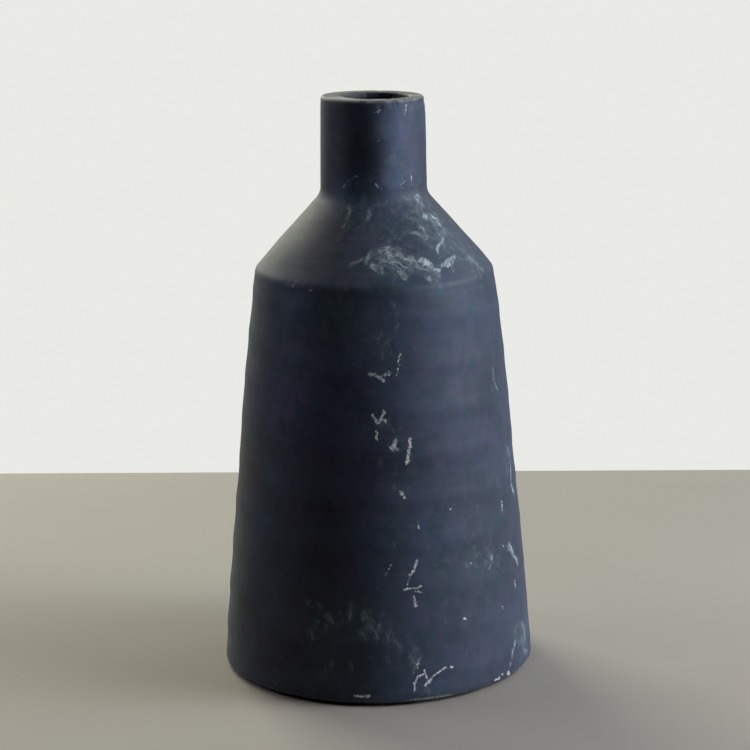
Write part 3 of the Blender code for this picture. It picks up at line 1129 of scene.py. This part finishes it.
def slip_low_radius():
    """Inner radius of the ring of slip on the slab's flange."""
    return wall_radius(slab_high.z) - WALL


def foot_slip(material):
    inner = slip_low_radius()
    middle = (slip_low.z + slip_high.z) / 2
    half = (slip_high.z - slip_low.z) / 2
    low_side = [(0, -0.7), (0.15, -1), (0.85, -1), (1, -0.7)]
    high_side = [(across, -up) for across, up in reversed(low_side)]
    ring = [
        (inner + (slip_high.x - inner) * across, middle + half * up)
        for across, up in low_side + high_side
    ]
    piece = mesh_piece("foot_slip", hidden(*ring), 0, 192)
    return finish_piece(piece, "base_slip_joint", material)


# ------------------------ stage
FLOOR_HALF = 0.31
FLOOR_THICKNESS = 0.025
FLOOR_TURN = math.radians(-1.3)
FLOOR_DARK = (0.29, 0.275, 0.25, 1)
FLOOR_LIGHT = (0.34, 0.32, 0.295, 1)


def upright(edge):
    return abs(edge.verts[0].co.z - edge.verts[1].co.z) > 1e-6


def on_top(edge):
    return all(abs(vert.co.z) < 1e-6 for vert in edge.verts)


def table_top():
    """A plain pale slab whose far edge makes the horizon."""
    size = (2 * FLOOR_HALF, 2 * FLOOR_HALF, FLOOR_THICKNESS)
    mesh = bmesh.new()
    bmesh.ops.create_cube(mesh, size=1.0)
    bmesh.ops.scale(mesh, vec=size, verts=mesh.verts)
    bmesh.ops.translate(mesh, vec=(0, 0, -FLOOR_THICKNESS / 2), verts=mesh.verts)
    for chosen, offset, segments in ((upright, 0.02, 8), (on_top, 0.002, 3)):
        edges = [edge for edge in mesh.edges if chosen(edge)]
        bmesh.ops.bevel(
            mesh, geom=edges, offset=offset, segments=segments, affect="EDGES", profile=0.5
        )
    data = bpy.data.meshes.new("floor")
    mesh.to_mesh(data)
    mesh.free()
    data.materials.append(pale_floor())
    floor = bpy.data.objects.new("floor", data)
    floor.rotation_euler.z = FLOOR_TURN
    bpy.context.scene.collection.objects.link(floor)


def pale_floor():
    material = bpy.data.materials.new("pale_floor")
    material.use_nodes = True
    shader = Shader(material.node_tree)
    surface = material.node_tree.nodes["Principled BSDF"]
    cloud = shader.noise(shader.node("TexCoord").outputs["Object"], 6.0, 4)
    shader.put(surface.inputs["Base Color"], shader.mix(cloud, FLOOR_DARK, FLOOR_LIGHT))
    surface.inputs["Roughness"].default_value = 0.75
    return material


# Soft lights, as (name, azimuth, elevation, watts, colour). Azimuth 0 is the camera's side.
LIGHTS = [
    ("key", 75, 20, 15.6, (1.0, 0.96, 0.97)),
    ("side", 90, 20, 11.2, (0.82, 0.92, 1.0)),
    ("behind_right", 130, 30, 2.8, (0.88, 0.99, 1.0)),
    ("left", -100, 30, 4.3, (1.0, 0.94, 0.98)),
    ("behind_left_low", -150, 15, 3.5, (1.0, 1.0, 0.76)),
    ("behind_left", -150, 35, 12.2, (1.0, 0.985, 0.8)),
]
LIGHT_DISTANCE = 1.4
LIGHT_SIZE = 0.7
ROOM_BEFORE = (0.0, 0.0, 0.0, 1)
ROOM_BEHIND = (0.317, 0.315, 0.287, 1)
PALE_WALL = (0.82, 0.825, 0.79, 1)


def area_light(name, azimuth, elevation, power, colour):
    """A soft square light aimed at the middle of the vase."""
    turn, lift = math.radians(azimuth), math.radians(elevation)
    aim = Vector((0, 0, HEIGHT / 2))
    level = math.cos(lift)
    away = Vector((math.sin(turn) * level, -math.cos(turn) * level, math.sin(lift)))
    data = bpy.data.lights.new(name, "AREA")
    data.shape = "SQUARE"
    data.size = LIGHT_SIZE
    data.energy = power
    data.color = colour
    light = bpy.data.objects.new(name, data)
    light.location = aim + away * LIGHT_DISTANCE
    light.rotation_euler = away.to_track_quat("Z", "Y").to_euler()
    bpy.context.scene.collection.objects.link(light)


def surroundings():
    """A bright room behind the vase and a dim one before it. The camera sees a plain pale wall."""
    world = bpy.context.scene.world or bpy.data.worlds.new("room")
    bpy.context.scene.world = world
    world.use_nodes = True
    world.node_tree.nodes.clear()
    shader = Shader(world.node_tree)
    direction = shader.node("TexCoord").outputs["Generated"]
    _, ahead, _ = shader.node("SeparateXYZ", Vector=direction).outputs
    room = shader.mix(shader.ramp(ahead, 0.15, 0.85), ROOM_BEFORE, ROOM_BEHIND)
    lit = shader.node("Background", Color=room, Strength=1.0)
    seen = shader.node("Background", Color=PALE_WALL, Strength=1.0)
    rays = shader.node("LightPath").outputs["Is Camera Ray"]
    mixed = world.node_tree.nodes.new("ShaderNodeMixShader")
    shader.put(mixed.inputs[0], rays)
    shader.put(mixed.inputs[1], lit.outputs[0])
    shader.put(mixed.inputs[2], seen.outputs[0])
    output = world.node_tree.nodes.new("ShaderNodeOutputWorld")
    shader.put(output.inputs["Surface"], mixed.outputs[0])


def camera():
    """A long lens, a little over four heights away, looking down at the vase."""
    distance = 1.06
    above = 0.3745
    tilt = math.radians(13.1)
    roll = math.radians(0.63)
    data = bpy.data.cameras.new("camera")
    data.sensor_width = 36.0
    data.lens = 119.6
    data.shift_x = -0.001
    data.shift_y = 0.0007
    made = bpy.data.objects.new("camera", data)
    made.matrix_world = (
        Matrix.Translation((0, -distance, above))
        @ Matrix.Rotation(math.pi / 2 - tilt, 4, "X")
        @ Matrix.Rotation(-roll, 4, "Z")
    )
    bpy.context.scene.collection.objects.link(made)
    bpy.context.scene.camera = made


for leftover in ("Cube", "Light", "Camera"):
    if leftover in bpy.data.objects:
        bpy.data.objects.remove(bpy.data.objects[leftover])

bpy.context.scene.view_settings.view_transform = "Standard"
wall_top, cone_top = WALL_TOP / MM, CONE_TOP / MM
body_wall(stoneware("black_wall", 0, wall_top))
ridge_slip(stoneware("stained_ridge_slip", wall_top, wall_top + 1.6, 0.6))
shoulder(stoneware("black_shoulder", wall_top, cone_top))
neck_slip(stoneware("stained_neck_slip", cone_top, cone_top + 1.6, 0.6))
neck(stoneware("black_neck", cone_top, HEIGHT / MM))
foot_slab(plain_clay("foot_clay", CLAY_DARK, CLAY_LIGHT, 0.78))
foot_slip(plain_clay("joining_slip", SLIP_DARK, SLIP_LIGHT, 0.8))
table_top()
for name, azimuth, elevation, power, colour in LIGHTS:
    area_light(name, azimuth, elevation, power, colour)
surroundings()
camera()
